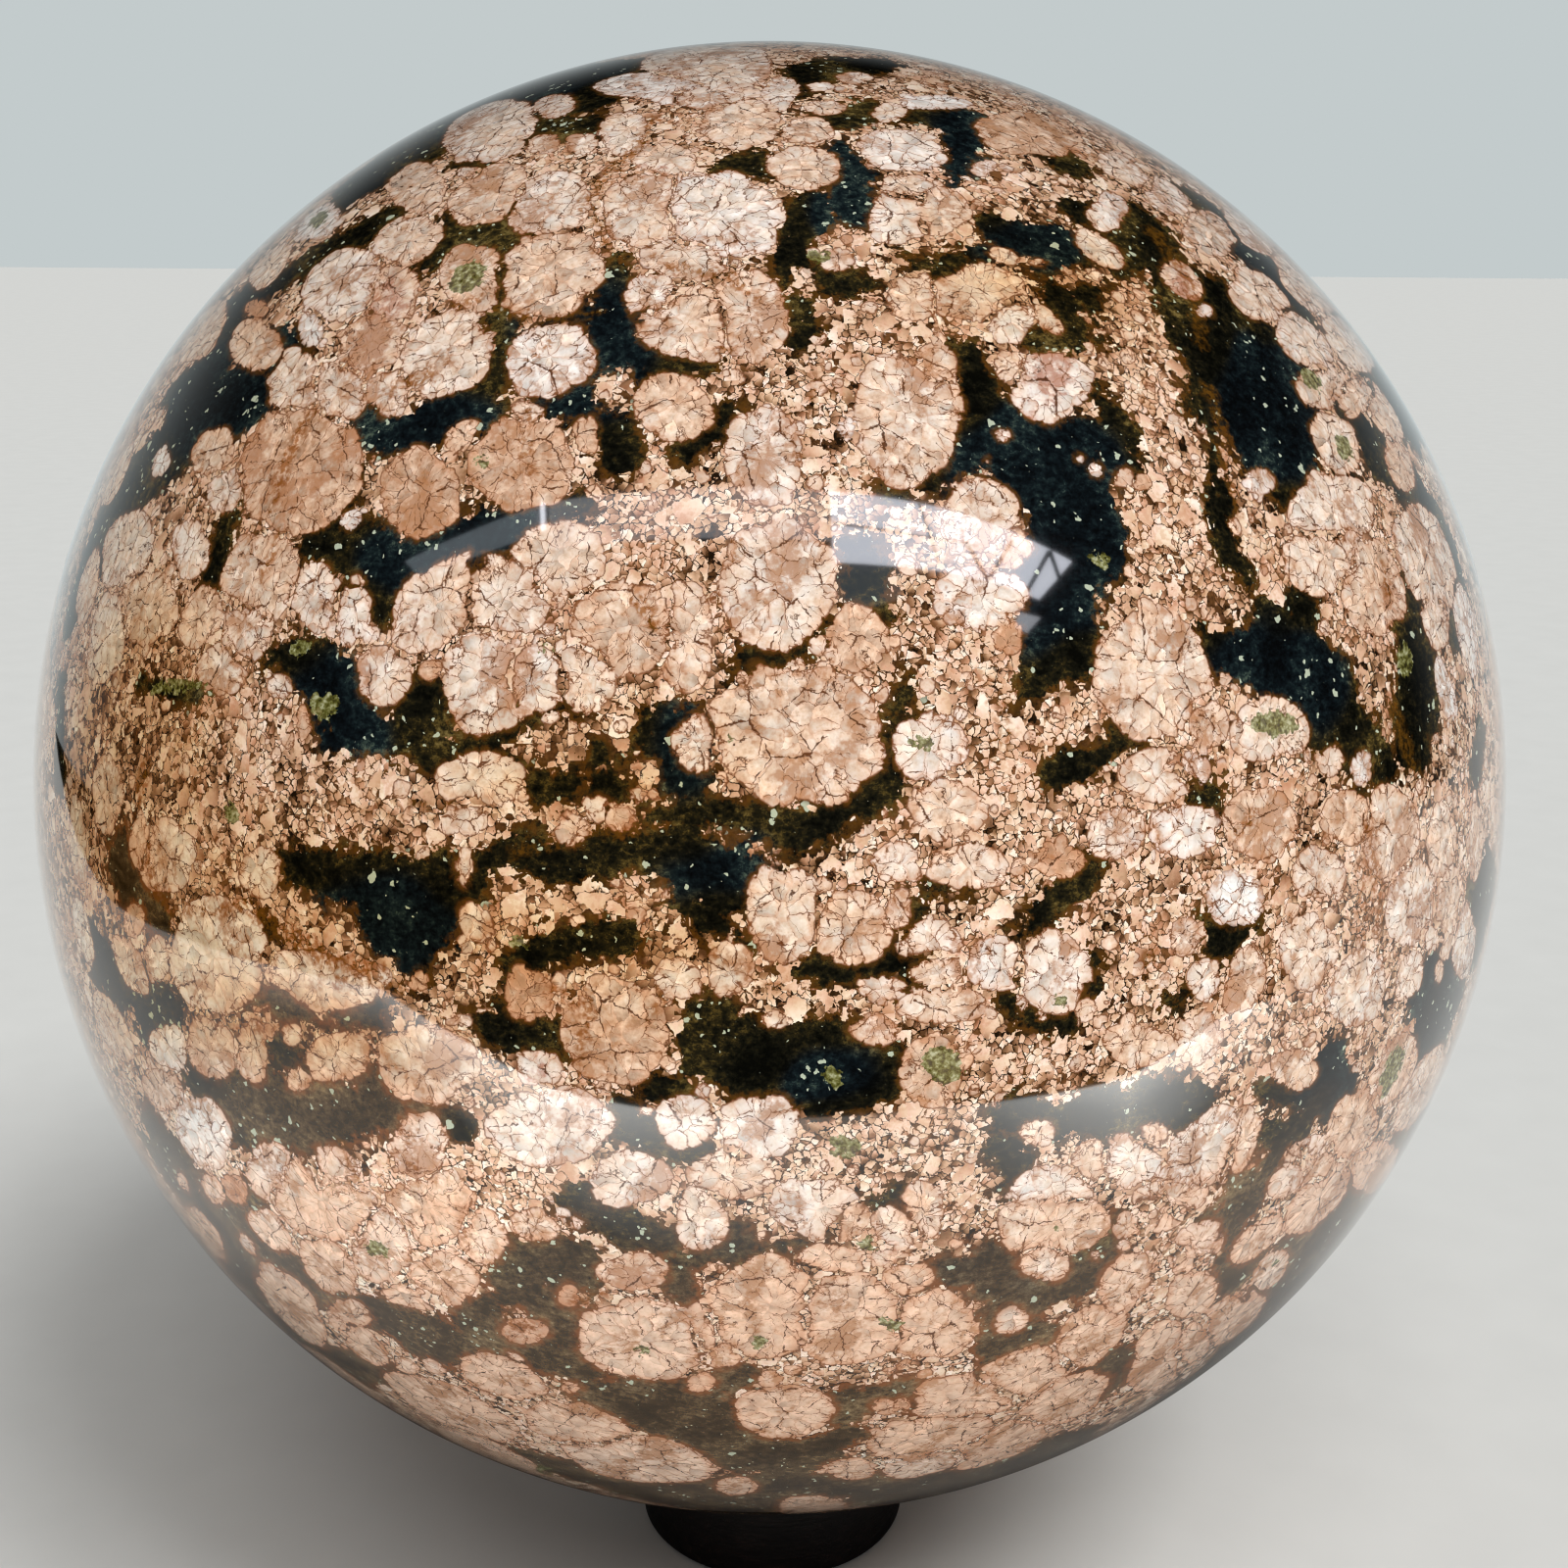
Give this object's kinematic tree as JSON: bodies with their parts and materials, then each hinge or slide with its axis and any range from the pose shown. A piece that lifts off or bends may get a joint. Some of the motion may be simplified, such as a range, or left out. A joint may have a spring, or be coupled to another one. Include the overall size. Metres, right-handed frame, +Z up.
{
  "type": "agate sphere on a ring stand",
  "caption": "Polished ball of cherry blossom agate, pink blossom orbs in a dark ground, resting on a small dark ring stand.",
  "frame": {"origin": "middle of the stand's foot, on the surface that it stands on", "axes": "+Z up, along the common axis of the ball and the ring; -Y towards the side that the picture shows"},
  "size_m": [0.1, 0.1, 0.11],
  "materials": {
    "polished_agate": "high polish, clear gloss over pink blossoms in a dark ground",
    "dark_wood": "near-black stained wood, satin"
  },
  "bodies": {
    "root": {"agate_ball": "polished_agate", "ring_stand": "dark_wood"}
  },
  "joints": []
}
